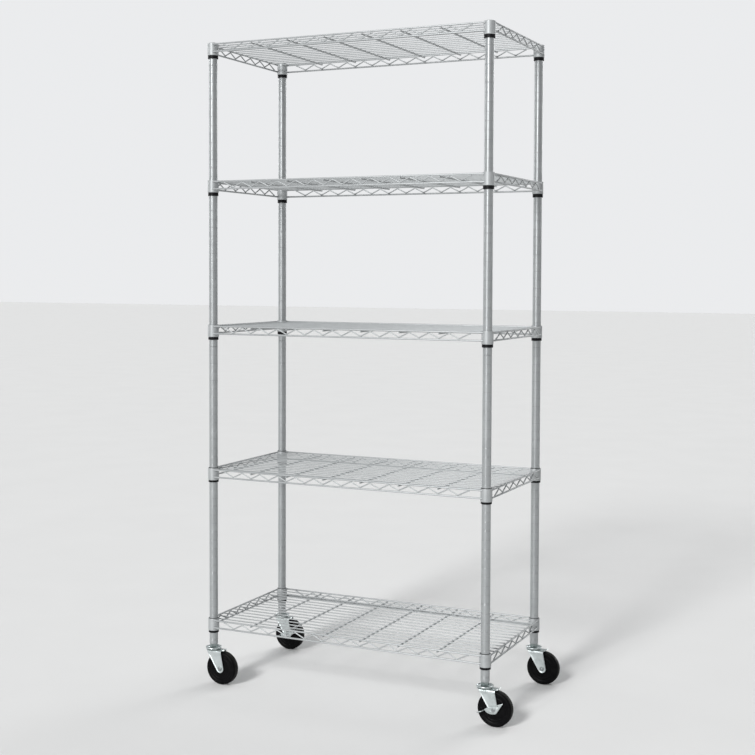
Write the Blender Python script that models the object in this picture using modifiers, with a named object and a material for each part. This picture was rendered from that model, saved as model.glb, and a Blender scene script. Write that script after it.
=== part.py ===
"""Wire shelving rack on four swivel casters, two of them braked.

Metres, +Z up, front at -Y. The origin is on the floor, at the centre of the footprint box
of the rack as it stands, with every caster trailing towards +X.
"""
import math

import bmesh
import bpy
from mathutils import Matrix, Vector

MM = 0.001
GAP = 0.3 * MM  # clearance between pieces that touch or nest
BLEND = 0.05 * MM  # vertices closer than this are one
SHARP_ANGLE = math.radians(32)  # turned pieces are shaded smooth below this

# Driving dimensions of the rack
POST_SPACING_X = 876 * MM  # between post axes, along the shelf
POST_SPACING_Y = 423 * MM  # between post axes, front to back
NOTCH_PITCH = 25.4 * MM  # the posts are notched every inch
FIRST_SHELF_Z = 162.5 * MM  # underside of the lowest collar above the floor
NOTCHES_BETWEEN_SHELVES = (18, 17, 17, 16)

# Posts: two tube halves joined by a stud fixed in the lower one, and closed by a cap
POST_RADIUS = 12.7 * MM
POST_BORE = 11.5 * MM
POST_BOTTOM = 121 * MM
POST_SEAM = 1022.2 * MM
POST_TOP = 1925.2 * MM
INSERT_HEIGHT = 26 * MM  # threaded insert welded in the foot of the post
INSERT_BORE = 5.3 * MM
STUD_LENGTH = 60 * MM
CAP_HEIGHT = 3.8 * MM
CAP_CROWN_RADIUS = 8.9 * MM  # where the nearly flat crown of the cap meets its sloping edge
CAP_CROWN_DROP = 0.7 * MM
CAP_EDGE_DROP = 2.2 * MM
CAP_PLUG_DEPTH = 12 * MM

# Shelf collars and the split sleeves that wedge in them
COLLAR_RADIUS = 16.5 * MM
COLLAR_HEIGHT = 36.5 * MM
SLEEVE_TOP_RADIUS = 14.3 * MM
SLEEVE_FOOT_RADIUS = 15.5 * MM
SLEEVE_HEIGHT = 44 * MM
SLEEVE_SHOWING = (6.5 * MM, 6 * MM, 8.5 * MM, 10 * MM, 9.5 * MM)  # below each collar

# Shelf wires; heights are above the underside of the collar
CHORD = 5 * MM  # top and bottom wires of the side trusses, and the cross wires
DECK_WIRE = 3.6 * MM
ZIGZAG = 4 * MM
ZIGZAG_PITCH = 60 * MM
FRAME_LEVEL = 29.5 * MM  # underside of the top wires, which lie on the cross wires
DECK_LEVEL = FRAME_LEVEL - GAP  # top of the cross wires, where the deck wires lie on them
BOTTOM_CHORD = 7.5 * MM  # underside of the bottom wires
TRUSS_OFFSET = COLLAR_RADIUS - CHORD / 2  # truss plane outside the plane of the post axes
CHORD_END = 4 * MM  # the chords stop this far from the post axis, on the flat of the collar
EDGE_WIRE_END = 9.5 * MM  # the outermost deck wires stop this far from it, beside the collar
LONG_TRUSS_APEXES = 13
SHORT_TRUSS_APEXES = 7
DECK_SPACES = 15
CROSS_WIRES = 6
CROSS_WIRE_PITCH = 120 * MM

# Casters
WHEEL_RADIUS = 50 * MM
WHEEL_HALF_WIDTH = 13.5 * MM
WHEEL_SHOULDER = 6 * MM
AXLE_RADIUS = 4 * MM
TRAIL = 31 * MM  # from the swivel axis back to the axle
LEG_OUTER = 17 * MM
LEG_THICKNESS = 2.5 * MM
LEG_END_RADIUS = 12 * MM
LEG_END_ARC = (10, -150)  # degrees, round the axle from the back edge to the front edge
LEG_TOP_FRONT = -13 * MM
LEG_TOP_BACK = 34 * MM
YOKE_TOP = 104.1 * MM
YOKE_THICKNESS = 3.1 * MM
YOKE_NOSE = -21 * MM
YOKE_CORNER = 7 * MM  # how far the nose is narrower than the legs, on each side
YOKE_LIP = 42 * MM
YOKE_LIP_HALF_WIDTH = 8 * MM
YOKE_LIP_TIP_HALF_WIDTH = 6 * MM
KINGPIN_RADIUS = 5.7 * MM
KINGPIN_HEAD_RADIUS = 9 * MM
KINGPIN_HEAD_HEIGHT = 2.7 * MM
RACE_RADIUS = 24 * MM
RACE_TOP = 111.8 * MM
RACE_FLOOR = 107.2 * MM
RACE_RIM = 2.5 * MM
HEX_RADIUS = 10 * MM
STEM_RADIUS = 5 * MM
STEM_TOP = 144 * MM
AXLE_HEAD_RADIUS = 5.3 * MM
AXLE_HEAD_THICKNESS = 2 * MM

# Brake lever, pivoting on the axle outside the front leg
LEVER_THICKNESS = 2 * MM
LEVER_RIM_RADIUS = 25 * MM
LEVER_RIM_CENTRE = (-6 * MM, 13 * MM)
LEVER_RIM_ARC = (-48, -146)  # degrees, under the axle from the wing to the arm
LEVER_SHOULDERS = ((-18 * MM, 5 * MM), (-8 * MM, 9 * MM), (9.5 * MM, 9.5 * MM), (10.5 * MM, 15.5 * MM))
LEVER_WING = (27.5 * MM, 22 * MM)
LEVER_ARM = (-26 * MM, -2 * MM)
PEDAL_TIP = (-46 * MM, -11 * MM)
PEDAL_WIDTH = 12 * MM
PEDAL_OVERLAP = 2 * MM  # how far the pedal is welded into the arm

# Roundness of the turned pieces
POST_SIDES = 8
CASTER_SIDES = 12
WHEEL_SIDES = 20

CORNERS = {"fl": (-1, -1), "fr": (1, -1), "bl": (-1, 1), "br": (1, 1)}
BRAKED = ("fr", "bl")

# The footprint box is wider towards the trailing wheels (+X) and the brake pedal (-Y)
WHEEL_REACH = TRAIL + WHEEL_RADIUS
LEVER_FACE = LEG_OUTER + GAP + LEVER_THICKNESS
PEDAL_REACH = LEVER_FACE - LEVER_THICKNESS + PEDAL_WIDTH
CENTRE_X = (RACE_RADIUS - WHEEL_REACH) / 2
CENTRE_Y = (PEDAL_REACH - RACE_RADIUS) / 2


def start_scene():
    """Empty the scene and make one collection for the parts and one for the cutters."""
    for obj in list(bpy.data.objects):
        bpy.data.objects.remove(obj, do_unlink=True)
    parts = bpy.data.collections.new("wire_shelving_rack")
    cutters = bpy.data.collections.new("cutters")
    bpy.context.scene.collection.children.link(parts)
    bpy.context.scene.collection.children.link(cutters)
    return parts, cutters


PARTS, CUTTERS = start_scene()


def finish(name, colour, roughness, metallic):
    """A plain surface finish."""
    made = bpy.data.materials.new(name)
    made.use_nodes = True
    shader = made.node_tree.nodes["Principled BSDF"]
    shader.inputs["Base Color"].default_value = (*colour, 1)
    shader.inputs["Roughness"].default_value = roughness
    shader.inputs["Metallic"].default_value = metallic
    made.diffuse_color = (*colour, 1)
    return made


SILVER_COAT = finish("silver_coat", (0.46, 0.48, 0.49), 0.45, 0.6)
BLACK_PLASTIC = finish("black_plastic", (0.012, 0.012, 0.013), 0.5, 0)
GREY_PLASTIC = finish("grey_plastic", (0.32, 0.33, 0.34), 0.5, 0)
ZINC = finish("zinc", (0.72, 0.75, 0.75), 0.3, 1)
STEEL = finish("steel", (0.5, 0.5, 0.5), 0.35, 1)
BLACK_RUBBER = finish("black_rubber", (0.01, 0.01, 0.011), 0.6, 0)


def add_object(name, mesh, collection, material=None):
    """A mesh object in a collection; anything among the cutters is hidden from the render."""
    made = bpy.data.objects.new(name, mesh)
    collection.objects.link(made)
    if collection is CUTTERS:
        made.hide_render = True
        made.display_type = "WIRE"
    if material is not None and not mesh.materials:
        mesh.materials.append(material)
    return made


def evaluated_mesh(source, name):
    """The mesh of an object with its modifiers applied, or of a curve, with its seams welded."""
    graph = bpy.context.evaluated_depsgraph_get()
    mesh = bpy.data.meshes.new_from_object(source.evaluated_get(graph))
    mesh.name = name
    work = bmesh.new()
    work.from_mesh(mesh)
    bmesh.ops.remove_doubles(work, verts=work.verts, dist=BLEND)
    work.to_mesh(mesh)
    work.free()
    return mesh


def round_shading(mesh):
    mesh.shade_smooth()
    mesh.set_sharp_from_angle(angle=SHARP_ANGLE)


def box(name, low, high):
    """A rectangular bar between two opposite corners."""
    mesh = bpy.data.meshes.new(name)
    work = bmesh.new()
    bmesh.ops.create_cube(work, size=1)
    size = Vector(high) - Vector(low)
    middle = (Vector(high) + Vector(low)) / 2
    bmesh.ops.transform(work, matrix=Matrix.LocRotScale(middle, None, size), verts=work.verts)
    work.to_mesh(mesh)
    work.free()
    return add_object(name, mesh, CUTTERS)


def cylinder(name, radius, low, high, sides):
    """An upright cylinder or prism on the Z axis, its flats at the radius and facing X and Y."""
    mesh = bpy.data.meshes.new(name)
    work = bmesh.new()
    place = Matrix.Translation((0, 0, (low + high) / 2))
    place @= Matrix.Rotation(math.pi / sides, 4, "Z")
    corner = radius / math.cos(math.pi / sides)
    bmesh.ops.create_cone(work, cap_ends=True, segments=sides, radius1=corner, radius2=corner,
                          depth=high - low, matrix=place)
    work.to_mesh(mesh)
    work.free()
    return add_object(name, mesh, CUTTERS)


def turned(name, profile, sides):
    """A profile of (radius, height) points, outer side running down, turned about Z.

    The flats of the turned shape stand at the given radii and face X and Y.
    """
    mesh = bpy.data.meshes.new(name)
    closed = profile[0][0] > 0
    last = len(profile) - 1
    edges = [(i, i + 1) for i in range(last)] + ([(last, 0)] if closed else [])
    skew = math.tan(math.pi / sides)
    mesh.from_pydata([(radius, radius * skew, height) for radius, height in profile], edges, [])
    made = add_object(name, mesh, CUTTERS)
    screw = made.modifiers.new("turn", "SCREW")
    screw.steps = sides
    screw.render_steps = sides
    screw.use_merge_vertices = True
    screw.merge_threshold = BLEND
    return made


def plate(name, outlines, thickness):
    """A flat plate in the XZ plane, half its thickness on each side of Y = 0, with holes."""
    curve = bpy.data.curves.new(name, "CURVE")
    curve.dimensions = "2D"
    curve.fill_mode = "BOTH"
    curve.extrude = thickness / 2
    for outline in outlines:
        spline = curve.splines.new("POLY")
        spline.points.add(len(outline) - 1)
        for point, (across, up) in zip(spline.points, outline):
            point.co = (across, up, 0, 1)
        spline.use_cyclic_u = True
    flat = add_object(name + "_curve", curve, CUTTERS)
    made = add_object(name, evaluated_mesh(flat, name), CUTTERS)
    bpy.data.objects.remove(flat, do_unlink=True)
    stand_up = Matrix.Rotation(math.radians(90), 4, "X")
    made.data.transform(stand_up)
    return made


def moved(shape, offset, turn=None):
    """Shift a cutter's mesh, after turning it if a turn is given."""
    matrix = Matrix.Translation(offset)
    if turn is not None:
        matrix = matrix @ turn
    shape.data.transform(matrix)
    return shape


def boolean(shape, others, operation):
    """Join the others to a shape, or cut them from it, and return the resulting mesh."""
    group = bpy.data.collections.new(shape.name + "_" + operation.lower())
    CUTTERS.children.link(group)
    for other in others:
        group.objects.link(other)
    step = shape.modifiers.new(operation.lower(), "BOOLEAN")
    step.operation = operation
    step.solver = "EXACT"
    step.operand_type = "COLLECTION"
    step.collection = group
    return evaluated_mesh(shape, shape.name + "_shape")


def piece(name, mesh, material, location=(0, 0, 0), parent=None):
    """A finished sub-part at its own origin."""
    made = add_object(name, mesh, PARTS, material)
    made.location = location
    made.parent = parent
    return made


def turned_mesh(name, profile, sides):
    """The finished mesh of a turned piece."""
    mesh = evaluated_mesh(turned(name, profile, sides), name + "_shape")
    round_shading(mesh)
    return mesh


def post_axis(corner):
    """Where the axis of a post stands on the floor."""
    side_x, side_y = CORNERS[corner]
    return (CENTRE_X + side_x * POST_SPACING_X / 2, CENTRE_Y + side_y * POST_SPACING_Y / 2)


def shelf_heights():
    """Underside of the collars of each shelf, from the bottom up."""
    heights = [FIRST_SHELF_Z]
    for notches in NOTCHES_BETWEEN_SHELVES:
        heights.append(heights[-1] + notches * NOTCH_PITCH)
    return heights


def arc(centre, radius, start, stop, steps):
    """Points on an arc, with the angles in degrees."""
    turn = (stop - start) / steps
    angles = [math.radians(start + turn * i) for i in range(steps + 1)]
    return [(centre[0] + radius * math.cos(a), centre[1] + radius * math.sin(a)) for a in angles]


# ---------------------------------------------------------------- shelves


def zigzag_outline(bottoms, low, high, ends_at_top):
    """The outline of a zigzag wire between two levels, its bends cut flat on the chords."""
    half = ZIGZAG_PITCH / 2
    rise = high - low
    side = ZIGZAG / 2 * math.hypot(half, rise) / rise  # half the wire, measured along the chord
    inset = 2 * side * rise / half  # from a chord to the inside of a bend
    over, under = [], []
    for x in bottoms:
        over.append((x, low + inset))
        under += [(x - side, low), (x + side, low)]
        if ends_at_top or x != bottoms[-1]:
            over += [(x + half - side, high), (x + half + side, high)]
            under.append((x + half, high - inset))
    if ends_at_top:
        first = bottoms[0] - half
        over = [(first - side, high), (first + side, high)] + over
        under = under[:-1]
    else:
        over = over[1:-1]
    return under + list(reversed(over))


def truss(half_length, apex_count, low, high, ends_at_top):
    """The wires of a truss along X: two chords and the zigzag between them.

    low and high are the outer heights. The zigzag touches the bottom chord apex_count times.
    """
    inner_low, inner_high = low + CHORD, high - CHORD
    half = CHORD / 2
    bottom = box("bottom_chord", (-half_length, -half, low), (half_length, half, inner_low))
    top = box("top_chord", (-half_length, -half, inner_high), (half_length, half, high))
    bottoms = [(i - (apex_count - 1) / 2) * ZIGZAG_PITCH for i in range(apex_count)]
    outline = zigzag_outline(bottoms, inner_low, inner_high, ends_at_top)
    return [bottom, top, plate("zigzag", [outline], CHORD)]


def shelf_trusses():
    """The wires of the four trusses that join the collars."""
    made = []
    half_x = POST_SPACING_X / 2 - CHORD_END
    half_y = POST_SPACING_Y / 2 - CHORD_END
    top = FRAME_LEVEL + CHORD
    quarter_turn = Matrix.Rotation(math.radians(90), 4, "Z")
    for side in (-1, 1):
        out_y = side * (POST_SPACING_Y / 2 + TRUSS_OFFSET)
        for wire in truss(half_x, LONG_TRUSS_APEXES, BOTTOM_CHORD, top, True):
            made.append(moved(wire, (0, out_y, 0)))
        out_x = side * (POST_SPACING_X / 2 + TRUSS_OFFSET)
        for wire in truss(half_y, SHORT_TRUSS_APEXES, BOTTOM_CHORD, top, False):
            made.append(moved(wire, (out_x, 0, 0), quarter_turn))
    return made


def shelf_cross_wires():
    """The stout wires under the deck, from the front top wire to the back one."""
    half = POST_SPACING_Y / 2 + COLLAR_RADIUS
    made = []
    for i in range(CROSS_WIRES):
        x = (i - (CROSS_WIRES - 1) / 2) * CROSS_WIRE_PITCH
        made.append(box("cross_wire", (x - CHORD / 2, -half, DECK_LEVEL - CHORD),
                        (x + CHORD / 2, half, DECK_LEVEL)))
    return made


def shelf_deck_wires():
    """The thin wires that carry the load, on the cross wires and between the side trusses."""
    half = POST_SPACING_X / 2 + TRUSS_OFFSET - CHORD / 2 - GAP
    width = POST_SPACING_Y + 2 * TRUSS_OFFSET
    made = []
    for i in range(1, DECK_SPACES):
        y = (i / DECK_SPACES - 0.5) * width
        at_edge = i in (1, DECK_SPACES - 1)
        end = POST_SPACING_X / 2 - EDGE_WIRE_END if at_edge else half
        made.append(box("deck_wire", (-end, y - DECK_WIRE / 2, DECK_LEVEL),
                        (end, y + DECK_WIRE / 2, DECK_LEVEL + DECK_WIRE)))
    return made


def at_corners(name, profile):
    """A turned shape at each corner of the shelf."""
    made = []
    for side_x, side_y in CORNERS.values():
        shape = turned(name + "_turned", profile, POST_SIDES)
        shape = add_object(name, evaluated_mesh(shape, name), CUTTERS)
        place = (side_x * POST_SPACING_X / 2, side_y * POST_SPACING_Y / 2, 0)
        made.append(moved(shape, place))
    return made


def shelf_frame_mesh():
    """The welded frame of a shelf: trusses and collars, the underside of the collars at 0."""
    slope = (SLEEVE_FOOT_RADIUS - SLEEVE_TOP_RADIUS) / SLEEVE_HEIGHT
    bore_top = SLEEVE_TOP_RADIUS + GAP
    margin = COLLAR_HEIGHT / 2
    collars = at_corners("collar", [(0, COLLAR_HEIGHT), (COLLAR_RADIUS, COLLAR_HEIGHT),
                                    (COLLAR_RADIUS, 0), (0, 0)])
    bores = at_corners("collar_bore", [(0, COLLAR_HEIGHT + margin),
                                       (bore_top - slope * margin, COLLAR_HEIGHT + margin),
                                       (bore_top + slope * (COLLAR_HEIGHT + margin), -margin),
                                       (0, -margin)])
    welded = boolean(collars[0], collars[1:] + shelf_trusses(), "UNION")
    return boolean(add_object("shelf_frame", welded, CUTTERS), bores, "DIFFERENCE")


def deck_grid_mesh():
    """The grid that lies in the frame: cross wires with the deck wires welded across them."""
    cross_wires = shelf_cross_wires()
    return boolean(cross_wires[0], cross_wires[1:] + shelf_deck_wires(), "UNION")


def make_shelves():
    frame, grid = shelf_frame_mesh(), deck_grid_mesh()
    for number, height in enumerate(shelf_heights(), start=1):
        at = (CENTRE_X, CENTRE_Y, height)
        piece(f"shelf_{number}", frame, SILVER_COAT, at)
        piece(f"deck_grid_{number}", grid, SILVER_COAT, at)


# ---------------------------------------------------------------- posts and sleeves


def make_posts():
    """Two tube halves, the lower one with the stud that joins them, and a cap at each corner."""
    foot = POST_BOTTOM + INSERT_HEIGHT
    plug = POST_BORE - GAP
    stud_low, stud_high = POST_SEAM - STUD_LENGTH / 2, POST_SEAM + STUD_LENGTH / 2
    lower = turned_mesh("post_lower", [(0, stud_high), (plug, stud_high), (plug, POST_SEAM),
                                       (POST_RADIUS, POST_SEAM), (POST_RADIUS, POST_BOTTOM),
                                       (INSERT_BORE, POST_BOTTOM), (INSERT_BORE, foot),
                                       (POST_BORE, foot), (POST_BORE, stud_low),
                                       (0, stud_low)], POST_SIDES)
    seam = POST_SEAM + GAP
    upper = turned_mesh("post_upper", [(POST_RADIUS, POST_TOP), (POST_RADIUS, seam),
                                       (POST_BORE, seam), (POST_BORE, POST_TOP)], POST_SIDES)
    flange = POST_TOP + GAP
    cap_top = POST_TOP + CAP_HEIGHT
    cap = turned_mesh("post_cap", [(0, cap_top), (CAP_CROWN_RADIUS, cap_top - CAP_CROWN_DROP),
                                   (POST_RADIUS, cap_top - CAP_EDGE_DROP), (POST_RADIUS, flange),
                                   (plug, flange), (plug, flange - CAP_PLUG_DEPTH),
                                   (0, flange - CAP_PLUG_DEPTH)], POST_SIDES)
    for corner in CORNERS:
        at = (*post_axis(corner), 0)
        piece(f"post_lower_{corner}", lower, SILVER_COAT, at)
        piece(f"post_upper_{corner}", upper, SILVER_COAT, at)
        piece(f"post_cap_{corner}", cap, GREY_PLASTIC, at)


def make_sleeves():
    """The tapered split sleeve between post and collar, at every corner of every shelf."""
    bore = POST_RADIUS + GAP
    mesh = turned_mesh("sleeve", [(SLEEVE_TOP_RADIUS, SLEEVE_HEIGHT), (SLEEVE_FOOT_RADIUS, 0),
                                  (bore, 0), (bore, SLEEVE_HEIGHT)], POST_SIDES)
    for number, height in enumerate(shelf_heights(), start=1):
        foot = height - SLEEVE_SHOWING[number - 1]
        for corner in CORNERS:
            piece(f"sleeve_{number}_{corner}", mesh, BLACK_PLASTIC, (*post_axis(corner), foot))


# ---------------------------------------------------------------- casters


def stem_mesh():
    """Threaded stem, hexagon, dished race and riveted kingpin: the fixed half of the swivel."""
    race_foot = YOKE_TOP + GAP
    head_top = YOKE_TOP - YOKE_THICKNESS - GAP
    head_foot = head_top - KINGPIN_HEAD_HEIGHT
    profile = [(0, STEM_TOP), (STEM_RADIUS, STEM_TOP), (STEM_RADIUS, RACE_FLOOR),
               (RACE_RADIUS - RACE_RIM, RACE_FLOOR), (RACE_RADIUS - RACE_RIM, RACE_TOP),
               (RACE_RADIUS, RACE_TOP), (RACE_RADIUS, race_foot),
               (KINGPIN_RADIUS, race_foot), (KINGPIN_RADIUS, head_top),
               (KINGPIN_HEAD_RADIUS, head_top), (KINGPIN_HEAD_RADIUS, head_foot), (0, head_foot)]
    body = turned("caster_stem_body", profile, CASTER_SIDES)
    hexagon = cylinder("stem_hexagon", HEX_RADIUS, RACE_FLOOR, POST_BOTTOM - GAP, 6)
    return boolean(body, [hexagon], "UNION")


def leg_outline():
    """A fork leg from the side: wide under the yoke, round at the axle."""
    axle = (TRAIL, WHEEL_RADIUS)
    top = YOKE_TOP - YOKE_THICKNESS / 2
    end = arc(axle, LEG_END_RADIUS, *LEG_END_ARC, 5)
    return [(LEG_TOP_BACK, top)] + end + [(LEG_TOP_FRONT, top)]


def fork_mesh():
    """The stamped fork, about the swivel axis: a yoke plate, two legs and the axle holes."""
    leg_y = LEG_OUTER - LEG_THICKNESS / 2
    legs = [moved(plate("leg", [leg_outline()], LEG_THICKNESS), (0, side * leg_y, 0))
            for side in (-1, 1)]
    half = [(YOKE_NOSE, LEG_OUTER - YOKE_CORNER), (LEG_TOP_FRONT, LEG_OUTER),
            (LEG_TOP_BACK, LEG_OUTER), (LEG_TOP_BACK, YOKE_LIP_HALF_WIDTH),
            (YOKE_LIP, YOKE_LIP_TIP_HALF_WIDTH)]
    outline = half + [(x, -y) for x, y in reversed(half)]
    yoke = plate("yoke", [outline], YOKE_THICKNESS)
    lay_flat = Matrix.Rotation(math.radians(-90), 4, "X")
    moved(yoke, (0, 0, YOKE_TOP - YOKE_THICKNESS / 2), lay_flat)
    pin_hole = cylinder("pin_hole", KINGPIN_RADIUS + GAP, YOKE_TOP - 2 * YOKE_THICKNESS,
                        YOKE_TOP + YOKE_THICKNESS, CASTER_SIDES)
    axle_hole = cylinder("axle_hole", AXLE_RADIUS + GAP, -2 * LEG_OUTER, 2 * LEG_OUTER, CASTER_SIDES)
    moved(axle_hole, (TRAIL, 0, WHEEL_RADIUS), Matrix.Rotation(math.radians(90), 4, "X"))
    joined = add_object("fork_joined", boolean(yoke, legs, "UNION"), CUTTERS)
    return boolean(joined, [pin_hole, axle_hole], "DIFFERENCE")


def wheel_mesh():
    """The solid wheel, turned about Z; it is laid on its axle when it is placed."""
    bore = AXLE_RADIUS + GAP
    half = WHEEL_HALF_WIDTH
    tread = half - WHEEL_SHOULDER
    profile = [(WHEEL_RADIUS - WHEEL_SHOULDER, half), (WHEEL_RADIUS, tread),
               (WHEEL_RADIUS, -tread), (WHEEL_RADIUS - WHEEL_SHOULDER, -half),
               (bore, -half), (bore, half)]
    return turned_mesh("wheel", profile, WHEEL_SIDES)


def axle_mesh(front_seat):
    """The axle bolt about Z: front_seat is where its head sits, ahead of the wheel's middle."""
    back_seat = LEG_OUTER + GAP
    profile = [(0, front_seat + AXLE_HEAD_THICKNESS),
               (AXLE_HEAD_RADIUS, front_seat + AXLE_HEAD_THICKNESS),
               (AXLE_HEAD_RADIUS, front_seat), (AXLE_RADIUS, front_seat),
               (AXLE_RADIUS, -back_seat), (AXLE_HEAD_RADIUS, -back_seat),
               (AXLE_HEAD_RADIUS, -back_seat - AXLE_HEAD_THICKNESS),
               (0, -back_seat - AXLE_HEAD_THICKNESS)]
    return turned_mesh("axle", profile, CASTER_SIDES)


def lever_mesh():
    """The brake lever about its pivot: a crescent, a wing up and back, and a bent-out pedal."""
    rim = arc(LEVER_RIM_CENTRE, LEVER_RIM_RADIUS, *LEVER_RIM_ARC, 6)
    outline = [LEVER_WING, *rim, *LEVER_SHOULDERS]
    blade = plate("lever_blade", [outline], LEVER_THICKNESS)
    length = math.dist(LEVER_ARM, PEDAL_TIP)
    tilt = math.atan2(LEVER_ARM[1] - PEDAL_TIP[1], LEVER_ARM[0] - PEDAL_TIP[0])
    half = LEVER_THICKNESS / 2
    pedal = box("pedal", (-length, half - PEDAL_WIDTH, -half), (PEDAL_OVERLAP, half, half))
    moved(pedal, (LEVER_ARM[0], 0, LEVER_ARM[1]), Matrix.Rotation(-tilt, 4, "Y"))
    hole = cylinder("lever_hole", AXLE_RADIUS + GAP, -LEVER_THICKNESS, LEVER_THICKNESS, CASTER_SIDES)
    moved(hole, (0, 0, 0), Matrix.Rotation(math.radians(90), 4, "X"))
    joined = add_object("lever_joined", boolean(blade, [pedal], "UNION"), CUTTERS)
    return boolean(joined, [hole], "DIFFERENCE")


def make_casters():
    """Stem, fork, wheel, axle bolt and, on two of them, the brake lever."""
    stem, fork, wheel, lever = stem_mesh(), fork_mesh(), wheel_mesh(), lever_mesh()
    plain_axle = axle_mesh(LEG_OUTER + GAP)
    braked_axle = axle_mesh(LEVER_FACE + GAP)
    on_its_side = math.radians(90)
    for corner in CORNERS:
        x, y = post_axis(corner)
        swivel = bpy.data.objects.new(f"swivel_{corner}", None)
        PARTS.objects.link(swivel)
        swivel.location = (x, y, 0)
        piece(f"caster_stem_{corner}", stem, ZINC, (x, y, 0))
        piece(f"fork_{corner}", fork, ZINC, parent=swivel)
        axle_centre = (TRAIL, 0, WHEEL_RADIUS)
        turning = piece(f"wheel_{corner}", wheel, BLACK_RUBBER, axle_centre, swivel)
        turning.rotation_euler.x = on_its_side
        braked = corner in BRAKED
        axle = piece(f"axle_{corner}", braked_axle if braked else plain_axle, STEEL,
                     axle_centre, swivel)
        axle.rotation_euler.x = on_its_side
        if braked:
            lever_y = -(LEVER_FACE - LEVER_THICKNESS / 2)
            piece(f"brake_lever_{corner}", lever, ZINC, (TRAIL, lever_y, WHEEL_RADIUS), swivel)


make_shelves()
make_posts()
make_sleeves()
make_casters()
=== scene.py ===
"""The looks of a wire shelving rack on casters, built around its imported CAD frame.

Every mesh is made in the row frame, in metres. Lengths below are in millimetres times MM.
"""
import math

import bmesh
import bpy
import numpy as np
from mathutils import Matrix, Vector


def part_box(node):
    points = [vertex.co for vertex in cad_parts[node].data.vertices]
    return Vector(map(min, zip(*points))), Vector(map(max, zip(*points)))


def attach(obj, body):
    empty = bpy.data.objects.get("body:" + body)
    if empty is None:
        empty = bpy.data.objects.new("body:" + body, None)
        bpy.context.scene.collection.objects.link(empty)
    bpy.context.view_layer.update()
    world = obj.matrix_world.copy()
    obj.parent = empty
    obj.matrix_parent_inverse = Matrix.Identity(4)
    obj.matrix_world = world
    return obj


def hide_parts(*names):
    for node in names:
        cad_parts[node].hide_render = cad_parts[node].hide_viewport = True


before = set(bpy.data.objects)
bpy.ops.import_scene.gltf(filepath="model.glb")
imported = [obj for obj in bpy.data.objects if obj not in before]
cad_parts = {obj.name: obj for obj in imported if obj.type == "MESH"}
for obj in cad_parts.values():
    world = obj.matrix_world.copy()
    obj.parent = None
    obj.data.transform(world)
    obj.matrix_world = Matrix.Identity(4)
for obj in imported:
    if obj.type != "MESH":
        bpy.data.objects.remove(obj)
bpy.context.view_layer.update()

MM = 0.001
GAP = 0.3 * MM  # clearance between parts that meet
CORNERS = ("fl", "fr", "bl", "br")
BRAKED = ("fr", "bl")
SHELVES = (1, 2, 3, 4, 5)
SHARP_ANGLE = 38  # degrees between two faces from which their edge stays sharp

# Posts
POST_RADIUS = 12.7 * MM
POST_BORE = 11.5 * MM
NOTCH_PITCH = 25.4 * MM
FIRST_NOTCH = 12.2 * MM  # above the foot of the post
NOTCH_CLEARANCE = 4 * MM  # no notch is nearer than this to an end of a tube
TUBE_EDGE = 0.5 * MM
NOTCH_DEPTH = 0.3 * MM
NOTCH_HALF = 0.6 * MM  # half the width of a notch
NOTCH_EDGE = 0.3 * MM  # flat kept beside a notch so that its shading stays narrow
DOUBLE_EVERY = 8  # every eighth notch is a pair
DOUBLE_OFFSET = 3.2 * MM
INSERT_HEIGHT = 26 * MM
INSERT_BORE = 5.3 * MM
INSERT_RECESS = 0.2 * MM  # the insert sits this far inside the foot of the post
CAP_FLANGE = 3.5 * MM  # the part of the cap that shows
CAP_CROWN = 2.3 * MM
STUD_LENGTH = 60 * MM
STUD_PITCH = 3 * MM
STUD_THREAD = 0.8 * MM  # depth of the thread

# Collars, above the underside of the collar
COLLAR_RADIUS = 16.5 * MM
COLLAR_HEIGHT = 36.5 * MM
COLLAR_EDGE = 1.1 * MM
COLLAR_BORE_TOP = 14.6 * MM
COLLAR_BORE_FOOT = 15.6 * MM

# Sleeves
SLEEVE_BORE = 13.0 * MM
SLEEVE_TOP_RADIUS = 14.3 * MM
SLEEVE_FOOT_RADIUS = 15.5 * MM
SLIT_DEGREES = 7

# Shelf wires
CHORD_RADIUS = 2.5 * MM
DECK_RADIUS = 1.8 * MM
ZIGZAG_RADIUS = 1.9 * MM
ZIGZAG_PITCH = 60 * MM
ZIGZAG_BEND = 4.2 * MM
ZIGZAG_TAIL = 4 * MM
FRAME_LEVEL = 29.5 * MM
BOTTOM_CHORD = 10 * MM  # middle of the bottom wires
TRUSS_OFFSET = 14.0 * MM
WIRE_INTO_COLLAR = 6.5 * MM  # how near the post axis a wire ends, inside the collar wall
LONG_APEXES = 13
SHORT_APEXES = 7
DECK_SPACES = 15
CROSS_WIRES = 6
CROSS_PITCH = 120 * MM
SINK = 0.25 * MM  # how far welded wires press into each other

# Casters, about the swivel axis
WHEEL_RADIUS = 50 * MM
TRAIL = 31 * MM
AXLE_RADIUS = 4 * MM
LEG_MIDDLE = 15.75 * MM  # middle of a leg's thickness, out from the wheel's middle
SHEET = 2.5 * MM
YOKE_MIDDLE = 102.85 * MM  # middle of the yoke plate's thickness
YOKE_BEND = 4 * MM
LEG_FRONT = -13 * MM
LEG_BACK = 34 * MM
LEG_END = 12 * MM
YOKE_NOSE = -21 * MM
LIP_START = 33 * MM  # from here on the yoke's tab turns up
LIP_END = 42 * MM
LIP_CURL = 0.055 / MM
DISH_DEPTH = 0.65 * MM
RACE_FLOOR = 107.2 * MM
BALLS = 22
BALL_RADIUS = 1.05 * MM
BALL_CIRCLE = 20.3 * MM
BALL_LEVEL = 105.75 * MM
AXLE_SEAT = 17.3 * MM  # where an axle head starts, out from the wheel's middle
BRAKED_AXLE_SEAT = 19.6 * MM  # the same over a brake lever
WASHER_SEAT = 17.2 * MM
LEVER_OFFSET = 18.3 * MM  # middle of the lever's thickness
LEVER_SHEET = 2 * MM

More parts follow.
